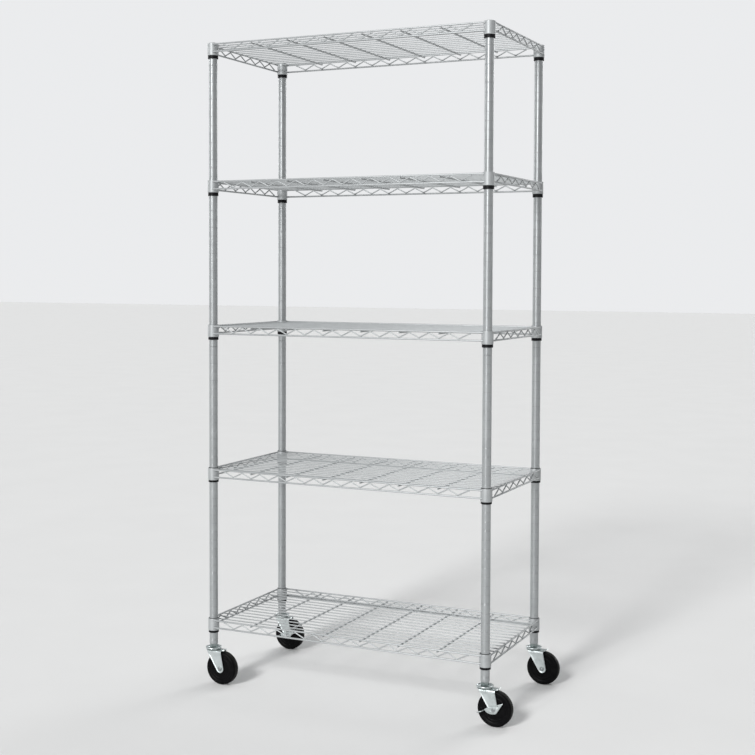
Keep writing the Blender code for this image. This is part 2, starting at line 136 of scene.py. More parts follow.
# Studio, in metres and degrees
STRIPE_HEIGHT = 9
STRIPE_WIDTH = 14
AMBIENT = (0.50, 0.14)  # light from all round, at the left and at the right
BACKDROP = 0.85
FLOOR_HALF = 40.0

# Places taken from the frame
POST_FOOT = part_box("post_lower_fl")[0].z
POST_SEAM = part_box("post_upper_fl")[0].z - GAP


def middle(node):
    """The middle of a CAD node's box."""
    low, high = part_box(node)
    return (low + high) / 2


AXES = {corner: middle(f"post_lower_{corner}").to_2d() for corner in CORNERS}
CENTRE = sum(AXES.values(), Vector((0, 0))) / len(CORNERS)
SPACING = AXES["br"] - AXES["fl"]
SHELF_FOOT = {number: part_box(f"shelf_{number}")[0].z for number in SHELVES}


# ---------------------------------------------------------------- mesh helpers


class Shape:
    """Points and faces of a surface, before it becomes a mesh."""

    def __init__(self, points, faces):
        self.points = np.asarray(points, float)
        self.faces = faces

    def moved(self, matrix):
        m = np.array(matrix)
        return Shape(self.points @ m[:3, :3].T + m[:3, 3], self.faces)

    def at(self, x, y, z):
        return Shape(self.points + np.array((x, y, z)), self.faces)


def joined(shapes):
    points, faces, first = [], [], 0
    for shape in shapes:
        points.append(shape.points)
        faces += [tuple(i + first for i in face) for face in shape.faces]
        first += len(shape.points)
    return Shape(np.concatenate(points), faces)


def quads(rows, columns, wrap_rows=False, wrap_columns=False):
    """The faces of a grid of points stored row after row."""
    faces = []
    for i in range(rows if wrap_rows else rows - 1):
        for j in range(columns if wrap_columns else columns - 1):
            a, b = i * columns + j, i * columns + (j + 1) % columns
            c, d = (i + 1) % rows * columns + (j + 1) % columns, (i + 1) % rows * columns + j
            faces.append((a, b, c, d))
    return faces


def lathe(profile, sides=48, start=0.0, sweep=360.0):
    """Points of (radius, height) turned about Z. The profile is a loop, or ends on the axis."""
    whole = sweep >= 360
    count = sides if whole else sides + 1
    angles = np.radians(start + np.arange(count) * sweep / sides)
    radius, height = np.array(profile, float).T
    points = np.stack([np.outer(np.cos(angles), radius), np.outer(np.sin(angles), radius),
                       np.tile(height, (count, 1))], axis=-1)
    closed = profile[0][0] > 0
    faces = quads(count, len(profile), wrap_rows=whole, wrap_columns=closed)
    if not whole:
        last = (count - 1) * len(profile)
        faces += [tuple(range(len(profile))), tuple(last + i for i in range(len(profile)))]
    return Shape(points.reshape(-1, 3), faces)


def upright(angle=90):
    """Turns what was made about Z so that it lies along Y."""
    return Matrix.Rotation(math.radians(angle), 4, "X")


def tube(path, radius, sides=12):
    """A round wire along a path, with rounded ends."""
    path = np.asarray(path, float)
    tangent = np.gradient(path, axis=0)
    tangent /= np.linalg.norm(tangent, axis=1)[:, None]
    ease = ((0.0, 0.66), (0.18, 0.88), (0.5, 1.0))  # share of the radius along, and across
    centres = [path[0] + tangent[0] * radius * along for along, _ in ease]
    centres += list(path[1:-1])
    centres += [path[-1] - tangent[-1] * radius * along for along, _ in reversed(ease)]
    inside = len(path) - 2
    widths = [across for _, across in ease] + [1.0] * inside + [a for _, a in reversed(ease)]
    ways = [tangent[0]] * len(ease) + list(tangent[1:-1]) + [tangent[-1]] * len(ease)
    side = np.cross(ways[0], (0.0, 0.0, 1.0))
    if np.linalg.norm(side) < 0.1:
        side = np.cross(ways[0], (1.0, 0.0, 0.0))
    turn = np.arange(sides) * 2 * math.pi / sides
    points = []
    for centre, way, width in zip(centres, ways, widths):
        side = side - way * np.dot(side, way)
        side /= np.linalg.norm(side)
        other = np.cross(way, side)
        ring = np.outer(np.cos(turn), side) + np.outer(np.sin(turn), other)
        points.append(centre + ring * radius * width)
    faces = quads(len(centres), sides, wrap_columns=True)
    last = (len(centres) - 1) * sides
    faces += [tuple(range(sides)), tuple(last + i for i in range(sides))]
    return Shape(np.concatenate(points), faces)


def filleted(corners, radius, steps=6):
    """A path through corners, with each inner corner rounded by an arc."""
    corners = [np.asarray(c, float) for c in corners]
    path = [corners[0]]
    for before, corner, after in zip(corners, corners[1:], corners[2:]):
        back = (before - corner) / np.linalg.norm(before - corner)
        on = (after - corner) / np.linalg.norm(after - corner)
        half = math.acos(np.clip(np.dot(back, on), -1, 1)) / 2
        reach = radius / math.tan(half)
        axis = (back + on) / np.linalg.norm(back + on)
        centre = corner + axis * radius / math.sin(half)
        first = corner + back * reach - centre
        last = corner + on * reach - centre
        opening = math.pi - 2 * half
        for i in range(steps + 1):
            t = i / steps
            blend = first * math.sin((1 - t) * opening) + last * math.sin(t * opening)
            path.append(centre + blend / math.sin(opening))
    return path + [corners[-1]]


def bead(radii, rings=4, sides=8):
    """A small weld bead, an ellipsoid with the given half axes."""
    profile = [(math.sin(math.pi * i / rings), math.cos(math.pi * i / rings))
               for i in range(rings + 1)]
    profile[0], profile[-1] = (0, 1), (0, -1)
    ball = lathe(profile, sides)
    return Shape(ball.points * np.array(radii), ball.faces)


def mesh_from(name, shape):
    """A closed mesh with its faces pointing out and its sharp edges kept."""
    mesh = bpy.data.meshes.new(name)
    mesh.from_pydata(shape.points.tolist(), [], shape.faces)
    work = bmesh.new()
    work.from_mesh(mesh)
    bmesh.ops.remove_doubles(work, verts=work.verts, dist=0.0001 * MM)
    bmesh.ops.recalc_face_normals(work, faces=work.faces)
    work.to_mesh(mesh)
    work.free()
    mesh.shade_smooth()
    mesh.set_sharp_from_angle(angle=math.radians(SHARP_ANGLE))
    return mesh


def radius_mark(mesh, centre, axis):
    """Stores each point's distance from an axis, in metres, for turned and moulded rings."""
    points = np.array([v.co for v in mesh.vertices]) - np.array(centre)
    across = points - np.outer(points @ np.array(axis), np.array(axis))
    mark = mesh.attributes.new("turned_radius", "FLOAT", "POINT")
    mark.data.foreach_set("value", np.linalg.norm(across, axis=1).astype(np.float32))


def piece(name, shapes, material, body, replaces=(), turned_about=None):
    """One visible piece of the rack, riding on a CAD body."""
    shape = joined(shapes) if isinstance(shapes, list) else shapes
    mesh = mesh_from(name, shape)
    if turned_about is not None:
        radius_mark(mesh, *turned_about)
    mesh.materials.append(material)
    made = bpy.data.objects.new(name, mesh)
    bpy.context.scene.collection.objects.link(made)
    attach(made, body)
    if replaces:
        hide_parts(*replaces)
    return made


# ---------------------------------------------------------------- materials


class Finish:
    """A Principled material whose colour, roughness and bump come from procedural nodes."""

    def __init__(self, name, roughness, metallic=0.0, specular=0.5):
        self.material = bpy.data.materials.new(name)
        self.material.use_nodes = True
        self.tree = self.material.node_tree
        self.shader = self.tree.nodes["Principled BSDF"]
        self.shader.inputs["Roughness"].default_value = roughness
        self.shader.inputs["Metallic"].default_value = metallic
        self.shader.inputs["Specular IOR Level"].default_value = specular
        self.place = self.node("ShaderNodeTexCoord").outputs["Object"]

    def node(self, kind, **settings):
        made = self.tree.nodes.new(kind)
        for key, value in settings.items():
            setattr(made, key, value)
        return made

    def join(self, source, target):
        self.tree.links.new(source, target)

    def noise(self, per_metre, detail=3.0, stretch=(1, 1, 1)):
        """Noise with a given number of cells to a metre, from 0 to 1."""
        shift = self.node("ShaderNodeMapping")
        shift.inputs["Scale"].default_value = stretch
        self.join(self.place, shift.inputs["Vector"])
        made = self.node("ShaderNodeTexNoise")
        made.inputs["Scale"].default_value = per_metre
        made.inputs["Detail"].default_value = detail
        self.join(shift.outputs["Vector"], made.inputs["Vector"])
        return made.outputs["Fac"]

    def cells(self, per_metre):
        """The distance to the nearest of many scattered points."""
        made = self.node("ShaderNodeTexVoronoi")
        made.inputs["Scale"].default_value = per_metre
        self.join(self.place, made.inputs["Vector"])
        return made.outputs["Distance"]

    def spread(self, source, low, high, to_low, to_high):
        """Maps low..high of a value to to_low..to_high."""
        made = self.node("ShaderNodeMapRange", clamp=True)
        made.inputs["From Min"].default_value = low
        made.inputs["From Max"].default_value = high
        made.inputs["To Min"].default_value = to_low
        made.inputs["To Max"].default_value = to_high
        self.join(source, made.inputs["Value"])
        return made.outputs["Result"]

    def sum(self, first, second, operation="ADD"):
        made = self.node("ShaderNodeMath", operation=operation)
        self.join(first, made.inputs[0])
        if isinstance(second, (int, float)):
            made.inputs[1].default_value = second
        else:
            self.join(second, made.inputs[1])
        return made.outputs[0]

    def mix(self, factor, low, high):
        """A colour between two others. Either may be a colour or a socket."""
        made = self.node("ShaderNodeMix", data_type="RGBA")
        self.join(factor, made.inputs["Factor"])
        colour_inputs = [s for s in made.inputs if s.type == "RGBA"]
        for value, socket in zip((low, high), colour_inputs):
            if isinstance(value, tuple):
                socket.default_value = (*value, 1)
            else:
                self.join(value, socket)
        return [s for s in made.outputs if s.type == "RGBA"][0]

    def turned_radius(self):
        """The distance from the axis that the piece was turned about, in metres."""
        return self.node("ShaderNodeAttribute", attribute_name="turned_radius").outputs["Fac"]

    def rings(self, per_metre):
        """Fine rings around the axis that the piece was turned about."""
        wave = self.node("ShaderNodeMath", operation="SINE")
        turns = self.sum(self.turned_radius(), per_metre * 2 * math.pi, "MULTIPLY")
        self.join(turns, wave.inputs[0])
        return self.spread(wave.outputs[0], -1, 1, 0, 1)

    def colour(self, source):
        self.join(source, self.shader.inputs["Base Color"])

    def roughness(self, source):
        self.join(source, self.shader.inputs["Roughness"])

    def bump(self, height, depth, strength=1.0):
        """Bump of a given depth in metres for a height from 0 to 1."""
        made = self.node("ShaderNodeBump")
        made.inputs["Strength"].default_value = strength
        made.inputs["Distance"].default_value = depth
        self.join(height, made.inputs["Height"])
        self.join(made.outputs["Normal"], self.shader.inputs["Normal"])


EPOXY_FLAKE = (0.55, 0.57, 0.58)
NOTCH_SHADE = (0.24, 0.245, 0.25)


def epoxy_coat(name, light, dark, sheen, metallic, notched=False):
    """Silver-grey epoxy over steel: partly metallic, faintly pebbled, a little uneven in tone.

    sheen is its lowest and highest roughness. A notched one has painted shade in the notches of a post.
    """
    made = Finish(name, roughness=sum(sheen) / 2, metallic=metallic)
    cloud = made.noise(38, detail=3)
    flake = made.noise(2600, detail=1)
    tone = made.mix(made.spread(cloud, 0.3, 0.7, 0, 1), dark, light)
    tone = made.mix(made.spread(flake, 0.52, 0.72, 0, 0.2), tone, EPOXY_FLAKE)
    if notched:
        floor_of_notch, rim = POST_RADIUS - NOTCH_DEPTH, POST_RADIUS - 0.1 * NOTCH_DEPTH
        tone = made.mix(made.spread(made.turned_radius(), floor_of_notch, rim, 0, 1),
                        NOTCH_SHADE, tone)
    made.colour(tone)
    pebble = made.noise(700, detail=2)
    made.roughness(made.spread(made.sum(pebble, cloud), 0.7, 1.3, *sheen))
    made.bump(pebble, 0.012 * MM)
    return made.material


def zinc_plate(name, light, dark):
    """Zinc plating with a faint spangle and a cool, slightly uneven tint."""
    made = Finish(name, roughness=0.3, metallic=0.9)
    cloud = made.noise(60, detail=2)
    spangle = made.cells(300)
    tint = made.mix(made.spread(cloud, 0.35, 0.65, 0, 1), dark, light)
    made.colour(made.mix(made.spread(spangle, 0, 0.8, 0, 0.12), tint, (0.72, 0.75, 0.75)))
    grain = made.noise(900, detail=2)
    made.roughness(made.spread(made.sum(grain, cloud), 0.7, 1.3, 0.26, 0.38))
    made.bump(grain, 0.01 * MM, 0.5)
    return made.material


def machined_steel():
    """Turned steel with fine rings around its axis."""
    made = Finish("machined_steel", roughness=0.32, metallic=1.0)
    rings = made.rings(3200)
    cloud = made.noise(300, detail=2)
    dark, light = (0.30, 0.315, 0.32), (0.42, 0.44, 0.45)
    made.colour(made.mix(made.spread(cloud, 0.3, 0.7, 0, 1), dark, light))
    made.roughness(made.spread(made.sum(rings, cloud), 0.3, 1.7, 0.22, 0.42))
    made.bump(rings, 0.01 * MM, 0.6)
    return made.material


def black_moulding():
    """Black plastic with a satin, faintly grained surface."""
    made = Finish("black_moulding", roughness=0.45, specular=0.12)
    cloud = made.noise(160, detail=3)
    dark, light = (0.004, 0.004, 0.005), (0.009, 0.009, 0.010)
    made.colour(made.mix(made.spread(cloud, 0.3, 0.7, 0, 1), dark, light))
    grain = made.noise(1800, detail=2)
    made.roughness(made.spread(grain, 0.3, 0.7, 0.36, 0.55))
    made.bump(grain, 0.03 * MM, 0.4)
    return made.material


def grey_moulding():
    """Light grey plastic of the post caps."""
    made = Finish("grey_moulding", roughness=0.42, specular=0.5)
    cloud = made.noise(120, detail=3)
    dark, light = (0.36, 0.37, 0.38), (0.47, 0.48, 0.49)
    made.colour(made.mix(made.spread(cloud, 0.3, 0.7, 0, 1), dark, light))
    grain = made.noise(1500, detail=2)
    made.roughness(made.spread(grain, 0.3, 0.7, 0.36, 0.5))
    made.bump(grain, 0.03 * MM, 0.4)
    return made.material


def wheel_rubber():
    """Near-black solid wheel: moulding rings on the sides, a dusty, worn tread."""
    made = Finish("wheel_rubber", roughness=0.4, specular=0.05)
    cloud = made.noise(90, detail=4)
    dark, light = (0.002, 0.002, 0.0023), (0.005, 0.005, 0.0053)
    body = made.mix(made.spread(cloud, 0.3, 0.7, 0, 1), dark, light)
    worn = made.spread(made.turned_radius(), 0.97 * WHEEL_RADIUS, WHEEL_RADIUS, 0, 1)
    dust = made.sum(worn, made.spread(cloud, 0.35, 0.75, 0.2, 1), "MULTIPLY")
    made.colour(made.mix(dust, body, (0.018, 0.0175, 0.0165)))
    made.roughness(made.sum(made.spread(made.noise(500), 0.3, 0.7, 0.28, 0.40),
                            made.spread(dust, 0, 1, 0, 0.25)))
    made.bump(made.sum(made.rings(650), made.noise(1400)), 0.015 * MM, 0.5)
    return made.material


SHELF_COAT = epoxy_coat("shelf_epoxy", (0.40, 0.415, 0.42), (0.35, 0.365, 0.37),
                        sheen=(0.42, 0.52), metallic=0.4)
POST_COAT = epoxy_coat("post_epoxy", (0.36, 0.375, 0.38), (0.32, 0.335, 0.34),
                       sheen=(0.30, 0.38), metallic=0.5, notched=True)
ZINC = zinc_plate("zinc_plate", (0.60, 0.645, 0.645), (0.52, 0.57, 0.57))
# A darker copy of the zinc plating: painted shade on the stem under the post, the lower race in the gap
# under the upper race and the washers beside the axle heads.
SHADED_ZINC = zinc_plate("shaded_zinc_plate", (0.33, 0.38, 0.375), (0.24, 0.285, 0.28))
STEEL = machined_steel()
BLACK_PLASTIC = black_moulding()
GREY_PLASTIC = grey_moulding()
RUBBER = wheel_rubber()


# ---------------------------------------------------------------- shelves


def zigzag(apexes, low, high, ends_at_top):
    """A serpentine wire in the XZ plane whose middle line swings between two heights."""
    slope = math.atan((high - low) / (ZIGZAG_PITCH / 2))
    over = ZIGZAG_BEND * (1 / math.cos(slope) - 1)  # the arc stops short of its corner by this
    middles = [(i - (apexes - 1) / 2) * ZIGZAG_PITCH for i in range(apexes)]
    corners = []
    for x in middles:
        if ends_at_top or x != middles[0]:
            corners.append((x - ZIGZAG_PITCH / 2, 0, high + over))
        corners.append((x, 0, low - over))
    if ends_at_top:
        corners.append((middles[-1] + ZIGZAG_PITCH / 2, 0, high + over))
    end = high if ends_at_top else low
    tail = corners[0][0] - ZIGZAG_TAIL
    corners[0] = (corners[0][0], 0, end)
    corners[-1] = (corners[-1][0], 0, end)
    return tube(filleted([(tail, 0, end)] + corners + [(-tail, 0, end)], ZIGZAG_BEND), ZIGZAG_RADIUS)


def truss(half_length, apexes, top_level, ends_at_top):
    """Two chords along X, the serpentine between them and the welds that hold it."""
    low = BOTTOM_CHORD + CHORD_RADIUS + ZIGZAG_RADIUS - SINK
    high = top_level - CHORD_RADIUS - ZIGZAG_RADIUS + SINK
    made = [tube([(-half_length, 0, level), (half_length, 0, level)], CHORD_RADIUS, 16)
            for level in (BOTTOM_CHORD, top_level)]
    made.append(zigzag(apexes, low, high, ends_at_top))
    weld = bead((3.4 * MM, 1.7 * MM, 0.9 * MM))
    first = -(apexes - 1) / 2 * ZIGZAG_PITCH
    for i in range(apexes):
        made.append(weld.at(first + i * ZIGZAG_PITCH, 0, BOTTOM_CHORD + CHORD_RADIUS))
    tops = apexes + 1 if ends_at_top else apexes - 1
    first += (-0.5 if ends_at_top else 0.5) * ZIGZAG_PITCH
    for i in range(tops):
        made.append(weld.at(first + i * ZIGZAG_PITCH, 0, top_level - CHORD_RADIUS))
    return joined(made)


def long_trusses():
    half = SPACING.x / 2 - WIRE_INTO_COLLAR
    made = truss(half, LONG_APEXES, FRAME_LEVEL + CHORD_RADIUS, True)
    return [made.at(0, side * (SPACING.y / 2 + TRUSS_OFFSET), 0) for side in (-1, 1)]


def side_trusses():
    half = SPACING.y / 2 - WIRE_INTO_COLLAR
    made = truss(half, SHORT_APEXES, FRAME_LEVEL + CHORD_RADIUS, False)
    made = made.moved(Matrix.Rotation(math.radians(90), 4, "Z"))
    return [made.at(side * (SPACING.x / 2 + TRUSS_OFFSET), 0, 0) for side in (-1, 1)]


def deck():
    """Deck wires on cross wires, with a weld where each pair crosses and at each side truss."""
    reach_y = SPACING.y / 2 + COLLAR_RADIUS
    cross_at = [(i - (CROSS_WIRES - 1) / 2) * CROSS_PITCH for i in range(CROSS_WIRES)]
    level = FRAME_LEVEL - CHORD_RADIUS
    made = [tube([(x, -reach_y, level), (x, reach_y, level)], CHORD_RADIUS, 16) for x in cross_at]
    reach_x = SPACING.x / 2 + TRUSS_OFFSET - CHORD_RADIUS + SINK
    width = SPACING.y + 2 * TRUSS_OFFSET
    weld = bead((2.9 * MM, 2.4 * MM, 1.3 * MM))
    end_weld = bead((1.6 * MM, 2.6 * MM, 2.2 * MM))
    top = FRAME_LEVEL + DECK_RADIUS - SINK
    for i in range(1, DECK_SPACES):
        y = (i / DECK_SPACES - 0.5) * width
        at_collar = i in (1, DECK_SPACES - 1)
        end = SPACING.x / 2 - WIRE_INTO_COLLAR if at_collar else reach_x
        made.append(tube([(-end, y, top), (end, y, top)], DECK_RADIUS, 12))
        made += [weld.at(x, y, FRAME_LEVEL) for x in cross_at]
        if not at_collar:
            made += [end_weld.at(x, y, top) for x in (-reach_x, reach_x)]
    edge_weld = bead((2.4 * MM, 2.4 * MM, 1.2 * MM))
    for x in cross_at:
        for side in (-1, 1):
            made.append(edge_weld.at(x, side * width / 2, FRAME_LEVEL))
    return joined(made)


def collar():
    """The tapered collar that a post passes through, with rolled edges."""
    e = COLLAR_EDGE
    top, outer = COLLAR_HEIGHT, COLLAR_RADIUS
    profile = [(COLLAR_BORE_TOP, top - 0.3 * e), (COLLAR_BORE_TOP + 0.3 * e, top),
               (outer - e, top), (outer - 0.5 * e, top - 0.12 * e), (outer - 0.12 * e, top - 0.5 * e),
               (outer, top - e), (outer, top - 2 * e), (outer, 2 * e), (outer, e),
               (outer - 0.12 * e, 0.5 * e), (outer - 0.5 * e, 0.12 * e), (outer - 0.8 * e, 0),
               (COLLAR_BORE_FOOT, 0), (COLLAR_BORE_FOOT - 0.1 * e, 0.3 * e)]
    return lathe(profile, 40)


def make_shelves():
    one_collar, one_deck = collar(), deck()
    fronts, sides = long_trusses(), side_trusses()
    for number in SHELVES:
        foot = (CENTRE.x, CENTRE.y, SHELF_FOOT[number])
        node = [f"shelf_{number}"]
        grid = [f"deck_grid_{number}"]
        for corner in CORNERS:
            x, y = AXES[corner]
            piece(f"shelf_{number}_collar_{corner}", one_collar.at(x, y, foot[2]), SHELF_COAT,
                  "rack", node)
        for name, shape in (("front_truss", fronts[0]), ("back_truss", fronts[1]),
                            ("left_truss", sides[0]), ("right_truss", sides[1])):
            piece(f"shelf_{number}_{name}", shape.at(*foot), SHELF_COAT, "rack", node)
        piece(f"shelf_{number}_deck", one_deck.at(*foot), SHELF_COAT, "rack", grid)


# ---------------------------------------------------------------- posts, caps and sleeves


def notch(z):
    """Profile points of one notch, from its top edge down."""
    shoulder = NOTCH_HALF + NOTCH_EDGE
    return [(POST_RADIUS, z + shoulder), (POST_RADIUS, z + NOTCH_HALF),
            (POST_RADIUS - 0.6 * NOTCH_DEPTH, z + NOTCH_HALF / 2), (POST_RADIUS - NOTCH_DEPTH, z),
            (POST_RADIUS - 0.6 * NOTCH_DEPTH, z - NOTCH_HALF / 2),
            (POST_RADIUS, z - NOTCH_HALF), (POST_RADIUS, z - shoulder)]


def tube_half(low, high):
    """A length of post between two heights, notched every inch and hollow."""
    profile = [(POST_BORE, high), (POST_RADIUS - TUBE_EDGE, high), (POST_RADIUS, high - TUBE_EDGE)]
    first_notch = POST_FOOT + FIRST_NOTCH
    count = int((high - first_notch) / NOTCH_PITCH) + 1
    for k in reversed(range(count + 1)):
        z = first_notch + k * NOTCH_PITCH
        marks = (z + DOUBLE_OFFSET, z) if k % DOUBLE_EVERY == 0 else (z,)
        for at in marks:
            if low + NOTCH_CLEARANCE < at < high - NOTCH_CLEARANCE:
                profile += notch(at)
    profile += [(POST_RADIUS, low + TUBE_EDGE), (POST_RADIUS - TUBE_EDGE, low), (POST_BORE, low)]
    return lathe(profile, 32)


def cap():
    """The domed cap with the plug that holds it in the post."""
    low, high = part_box("post_cap_fl")
    flange = high.z - CAP_FLANGE
    plug = POST_BORE - GAP
    lip, chamfer = 0.4 * MM, 1 * MM
    dome = [(POST_RADIUS * math.sin(a), high.z - CAP_CROWN * (1 - math.cos(a)))
            for a in (math.radians(t) for t in (15, 30, 45, 60, 75, 84))]
    rim = [(POST_RADIUS, high.z - CAP_CROWN - GAP), (POST_RADIUS, flange + lip),
           (POST_RADIUS - lip, flange)]
    stem_side = [(plug, flange), (plug, low.z + chamfer), (plug - chamfer, low.z), (0, low.z)]
    return lathe([(0, high.z)] + dome + rim + stem_side, 40)


def sleeve_half(low, high, start):
    """One half of the split, tapered sleeve between a post and its collar."""
    e = 0.4 * MM
    foot, top = SLEEVE_FOOT_RADIUS, SLEEVE_TOP_RADIUS
    profile = [(SLEEVE_BORE, high), (top - e, high), (top, high - e),
               (foot, low + e), (foot - e, low), (SLEEVE_BORE, low)]
    return lathe(profile, 20, start + SLIT_DEGREES / 2, 180 - SLIT_DEGREES)


def insert():
    """The threaded insert in the foot of a post."""
    top = POST_FOOT + INSERT_HEIGHT
    foot = POST_FOOT + INSERT_RECESS
    wall = POST_BORE - 0.05 * MM
    chamfer = 0.8 * MM
    profile = [(INSERT_BORE, top), (wall, top), (wall, foot), (INSERT_BORE + chamfer, foot),
               (INSERT_BORE, foot + chamfer)]
    return lathe(profile, 32)


def stud():
    """The threaded stud that joins the two halves of a post."""
    half, crest = STUD_LENGTH / 2, POST_BORE - GAP
    turns = int(STUD_LENGTH / STUD_PITCH) - 1
    profile = [(0, half), (crest - STUD_THREAD, half)]
    for i in range(turns):
        z = half - (i + 0.5) * STUD_PITCH
        profile += [(crest, z - 0.3 * STUD_PITCH), (crest - STUD_THREAD, z - 0.8 * STUD_PITCH)]
    return lathe(profile + [(crest - STUD_THREAD, -half), (0, -half)], 24).at(0, 0, POST_SEAM)


def make_posts():
    post_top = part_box("post_upper_fl")[1].z
    parts = {"post_lower": tube_half(POST_FOOT, POST_SEAM),
             "post_upper": tube_half(POST_SEAM + GAP, post_top)}
    one_insert, one_stud, one_cap = insert(), stud(), cap()
    for corner in CORNERS:
        x, y = AXES[corner]
        about = ((x, y, 0), (0, 0, 1))
        for name, shape in parts.items():
            piece(f"{name}_tube_{corner}", shape.at(x, y, 0), POST_COAT, "rack",
                  [f"{name}_{corner}"], about)
        for name, shape in (("insert", one_insert), ("stud", one_stud)):
            piece(f"post_{name}_{corner}", shape.at(x, y, 0), STEEL, "rack",
                  [f"post_lower_{corner}"], about)
        piece(f"post_cap_dome_{corner}", one_cap.at(x, y, 0), GREY_PLASTIC, "rack",
              [f"post_cap_{corner}"])
        for number in SHELVES:
            node = f"sleeve_{number}_{corner}"
            low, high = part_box(node)
            for half, start in (("front", 180), ("back", 0)):
                shape = sleeve_half(low.z, high.z, start).at(x, y, 0)
                piece(f"{node}_{half}", shape, BLACK_PLASTIC, "rack", [node])


# ---------------------------------------------------------------- casters


def stem():
    """Threaded stem, hexagon and kingpin of the fixed half of the swivel."""
    head_top, head_foot = 100.7 * MM, 98.0 * MM
    hex_foot, hex_top = RACE_FLOOR - 0.4 * MM, POST_FOOT - GAP
    chamfer = 0.9 * MM
    across = 10 * MM / math.cos(math.pi / 6)
    hexagon = lathe([(0, hex_top), (across - chamfer, hex_top), (across, hex_top - chamfer),
                     (across, hex_foot), (0, hex_foot)], 6, start=30)
    thread_foot, thread_top = hex_top - 0.5 * MM, 144 * MM
    pitch, crest, root = 1.5 * MM, 5 * MM, 4.3 * MM
    profile = [(0, thread_top), (root, thread_top)]
    turns = int((thread_top - thread_foot) / pitch)
    for i in range(turns):
        z = thread_top - 0.4 * MM - i * pitch
        profile += [(crest, z - 0.3 * pitch), (crest, z - 0.45 * pitch), (root, z - 0.8 * pitch)]
    profile += [(root, thread_foot), (0, thread_foot)]
    thread = lathe(profile, 24)
    pin_radius = 5.7 * MM
    pin = lathe([(0, RACE_FLOOR), (pin_radius, RACE_FLOOR), (pin_radius, head_top), (8.4 * MM, head_top),
                 (9 * MM, head_top - 0.6 * MM), (8.6 * MM, head_foot + 0.9 * MM),
                 (6.5 * MM, head_foot), (3 * MM, head_foot), (2.2 * MM, head_foot + 0.7 * MM),
                 (0, head_foot + 0.8 * MM)], 32)
    return [hexagon, thread, pin]


def race():
    """The pressed upper race: a dish with a rolled rim over a shadow gap."""
    profile = [(5.8, 107.1), (16.0, 107.2), (18.2, 107.6), (20.0, 108.6), (21.2, 110.4),
               (21.9, 111.4), (22.7, 111.8), (23.5, 111.5), (24.0, 110.8), (24.0, 109.0),
               (23.6, 107.7), (22.6, 106.9), (20.5, 106.6), (15.0, 106.3), (12.6, 105.6),
               (11.6, 104.5), (5.8, 104.4)]
    return lathe([(r * MM, z * MM) for r, z in profile], 56)


def lower_race():
    """The lower race standing on the yoke, with its retained balls showing in the gap."""
    profile = [(13.0, 104.2), (13.0, 105.0), (16.0, 105.3), (18.5, 104.9), (20.6, 105.4),
               (21.6, 105.5), (22.2, 105.0), (22.2, 104.2), (21.4, 103.7), (13.0, 103.7)]
    made = [lathe([(r * MM, z * MM) for r, z in profile], 48)]
    ball = bead((BALL_RADIUS,) * 3, rings=6, sides=10)
    for i in range(BALLS):
        angle = 2 * math.pi * i / BALLS
        x, y = BALL_CIRCLE * math.cos(angle), BALL_CIRCLE * math.sin(angle)
        made.append(ball.at(x, y, BALL_LEVEL))
    return made


def smooth(value, low, high):
    t = np.clip((value - low) / (high - low), 0, 1)
    return t * t * (3 - 2 * t)


def leg_tangent(corner, side):
    """Where the edge of a leg meets the round end at the axle; side is -1 in front, 1 behind."""
    axle = np.array((TRAIL, WHEEL_RADIUS))
    way = axle - np.array(corner)
    distance = np.linalg.norm(way)
    swing = math.asin(LEG_END / distance)
    angle = math.atan2(way[1], way[0]) + side * swing
    return np.array(corner) + distance * math.cos(swing) * np.array((math.cos(angle), math.sin(angle)))


def leg_edges(z):
    """Front and back of a leg at a height below the bend."""
    bend = YOKE_MIDDLE - YOKE_BEND
    made = []
    for corner, side in (((LEG_FRONT, bend), -1), ((LEG_BACK, bend), 1)):
        foot = leg_tangent(corner, side)
        if z > foot[1]:
            t = (corner[1] - z) / (corner[1] - foot[1])
            made.append(corner[0] + t * (foot[0] - corner[0]))
        else:
            made.append(TRAIL + side * math.sqrt(LEG_END ** 2 - (z - WHEEL_RADIUS) ** 2))
    return made


def leg_edge_distance(x, z):
    """How far a point of a leg is from the leg's outline."""
    bend = YOKE_MIDDLE - YOKE_BEND
    near = 1.0
    for corner, side in (((LEG_FRONT, bend), -1), ((LEG_BACK, bend), 1)):
        foot = leg_tangent(corner, side)
        if z > foot[1]:
            along = (foot - np.array(corner)) / np.linalg.norm(foot - np.array(corner))
            across = np.array((x, z)) - np.array(corner)
            near = min(near, abs(along[0] * across[1] - along[1] * across[0]))
    if z < WHEEL_RADIUS:
        near = min(near, LEG_END - math.hypot(x - TRAIL, z - WHEEL_RADIUS))
    return near


def fork_rows():
    """Rows of the fork's middle surface: (y, z, front x, back x), front leg to back leg."""
    bend_z = YOKE_MIDDLE - YOKE_BEND
    flat_y = LEG_MIDDLE - YOKE_BEND
    round_end = (5, 12, 20, 30, 42, 55, 70, 90)  # degrees up from the lowest point of the leg
    leg = [WHEEL_RADIUS - LEG_END * math.cos(math.radians(a)) for a in round_end]
    leg += list(np.linspace(WHEEL_RADIUS + 3 * MM, bend_z, 16))
    rows = [(-LEG_MIDDLE, z, *leg_edges(z)) for z in leg]
    top = [(-flat_y - YOKE_BEND * math.cos(a), bend_z + YOKE_BEND * math.sin(a))
           for a in (math.radians(t) for t in (18, 36, 54, 72))]
    top += [(-y * MM, YOKE_MIDDLE) for y in (11.75, 10.2, 9.2, 8.4, 7.6, 6.5, 4.5, 2.2)]
    for y, z in top:
        nose = LEG_FRONT + (YOKE_NOSE - LEG_FRONT) * (1 - float(smooth(-y, 7 * MM, LEG_MIDDLE)))
        tab = LEG_BACK + (LIP_END - LEG_BACK) * (1 - float(smooth(-y, 7.2 * MM, 9.6 * MM)))
        rows.append((y, z, nose, tab))
    centre = [(0.0, YOKE_MIDDLE, YOKE_NOSE, LIP_END)]
    mirrored = [(-y, z, front, back) for y, z, front, back in reversed(rows)]
    return rows + centre + mirrored


